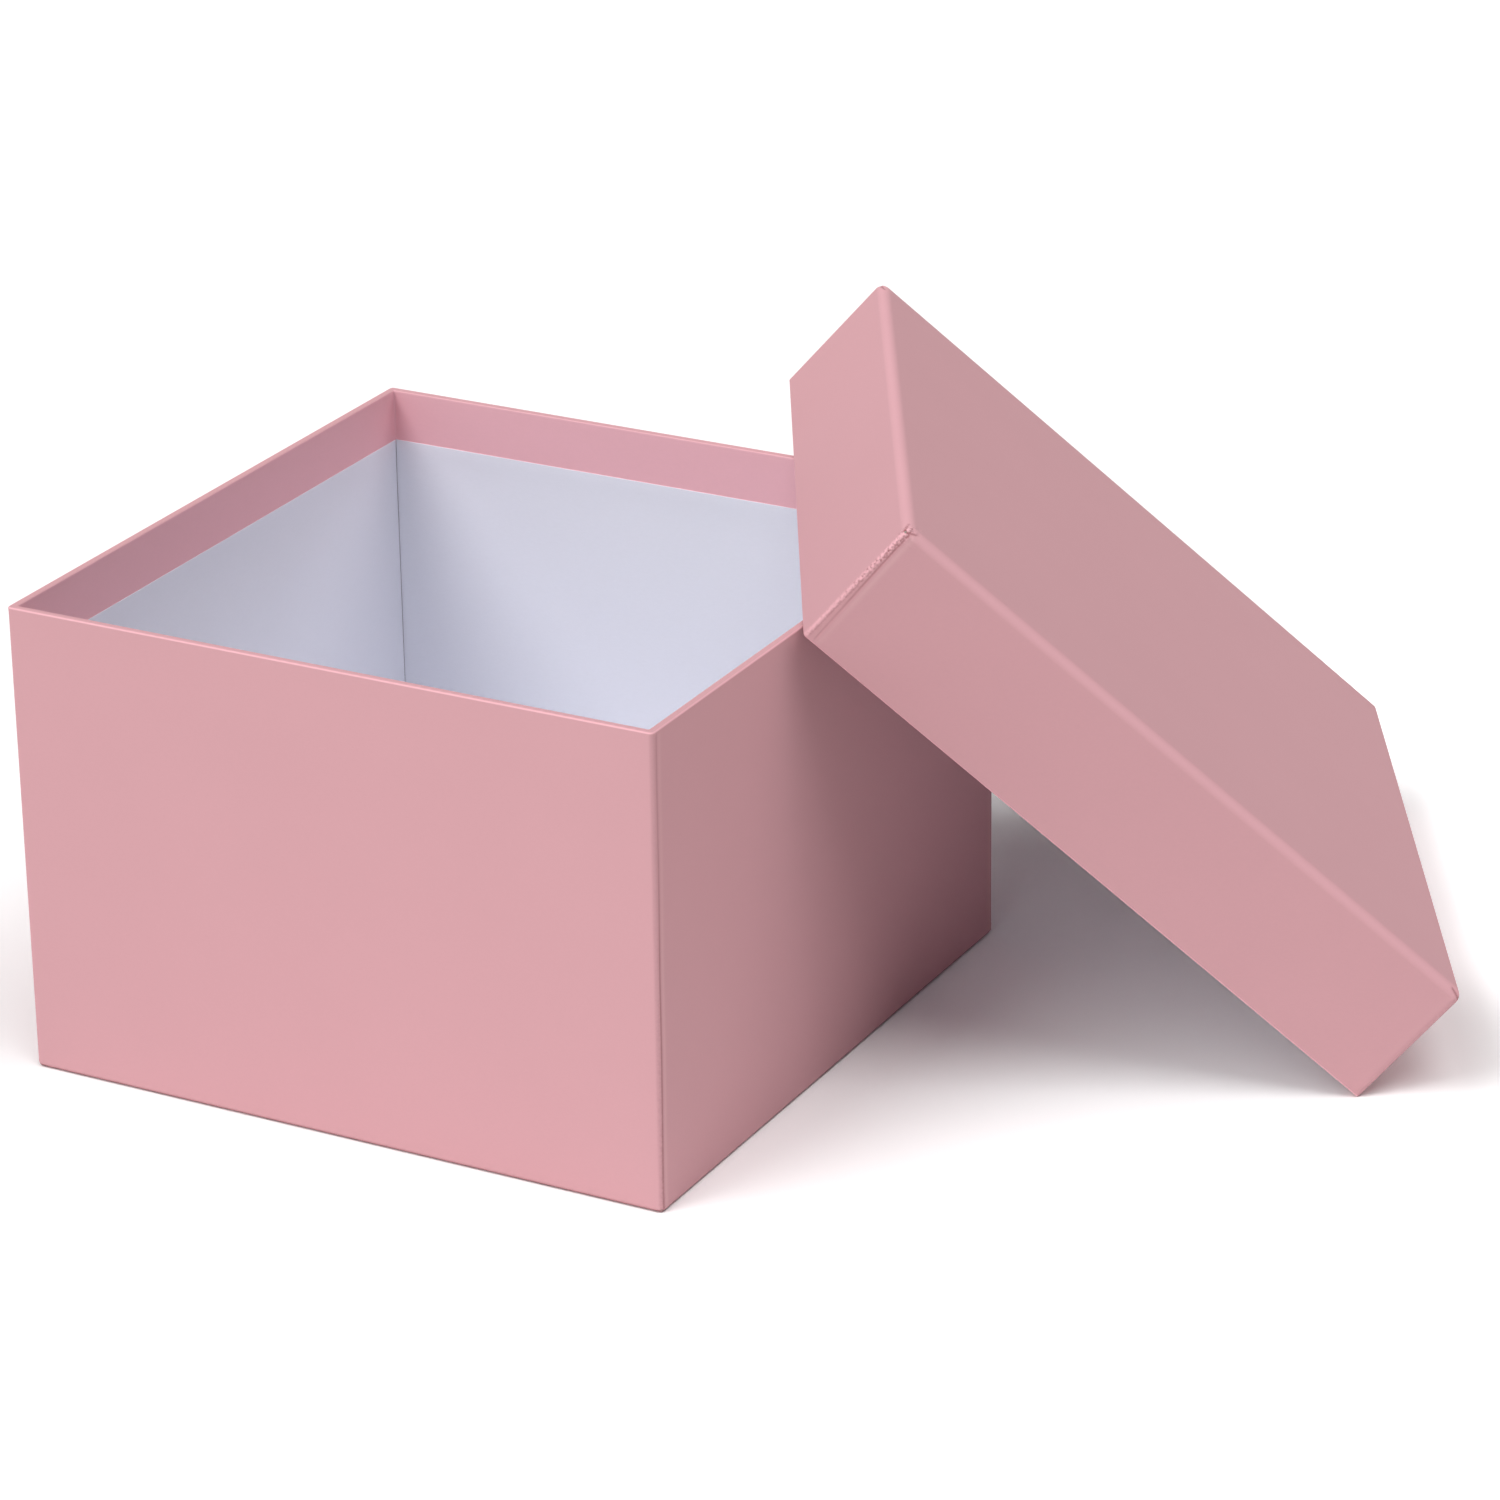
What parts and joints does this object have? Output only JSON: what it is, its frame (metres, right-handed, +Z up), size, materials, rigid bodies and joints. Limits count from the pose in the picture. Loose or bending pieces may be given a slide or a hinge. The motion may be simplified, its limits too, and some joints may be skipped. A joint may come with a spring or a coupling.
{
  "type": "flower box",
  "caption": "Square paper flower box: a deep pink tray lined in white, and its shallow lift-off lid leaning on the tray's corner.",
  "frame": {"origin": "middle of the tray's underside", "axes": "+Z up out of the tray's mouth, +X along the front wall to the right, +Y to the back"},
  "size_m": [0.3608, 0.3397, 0.1688],
  "materials": {
    "greyboard": "raw greyboard, matt",
    "stay_paper": "gummed paper tape, matt",
    "tray_cover_paper": "uncoated dusty pink cover paper, matt",
    "lid_cover_paper": "uncoated dusty pink cover paper, matt",
    "lining_paper": "smooth white lining paper, matt"
  },
  "bodies": {
    "tray": {"tray_board": "greyboard", "tray_stay_front_left": "stay_paper", "tray_stay_front_right": "stay_paper", "tray_stay_back_left": "stay_paper", "tray_stay_back_right": "stay_paper", "tray_wrap": "tray_cover_paper", "tray_wall_liner": "lining_paper", "tray_floor_liner": "lining_paper"},
    "lid": {"lid_board": "greyboard", "lid_stay_upper_front": "stay_paper", "lid_stay_upper_back": "stay_paper", "lid_stay_lower_front": "stay_paper", "lid_stay_lower_back": "stay_paper", "lid_wrap": "lid_cover_paper", "lid_liner": "lining_paper"}
  },
  "joints": [
    {"name": "lid_lift", "type": "slide", "parent": "tray", "child": "lid", "axis": [0, 0, 1], "range_m": [0, 0.2]}
  ]
}
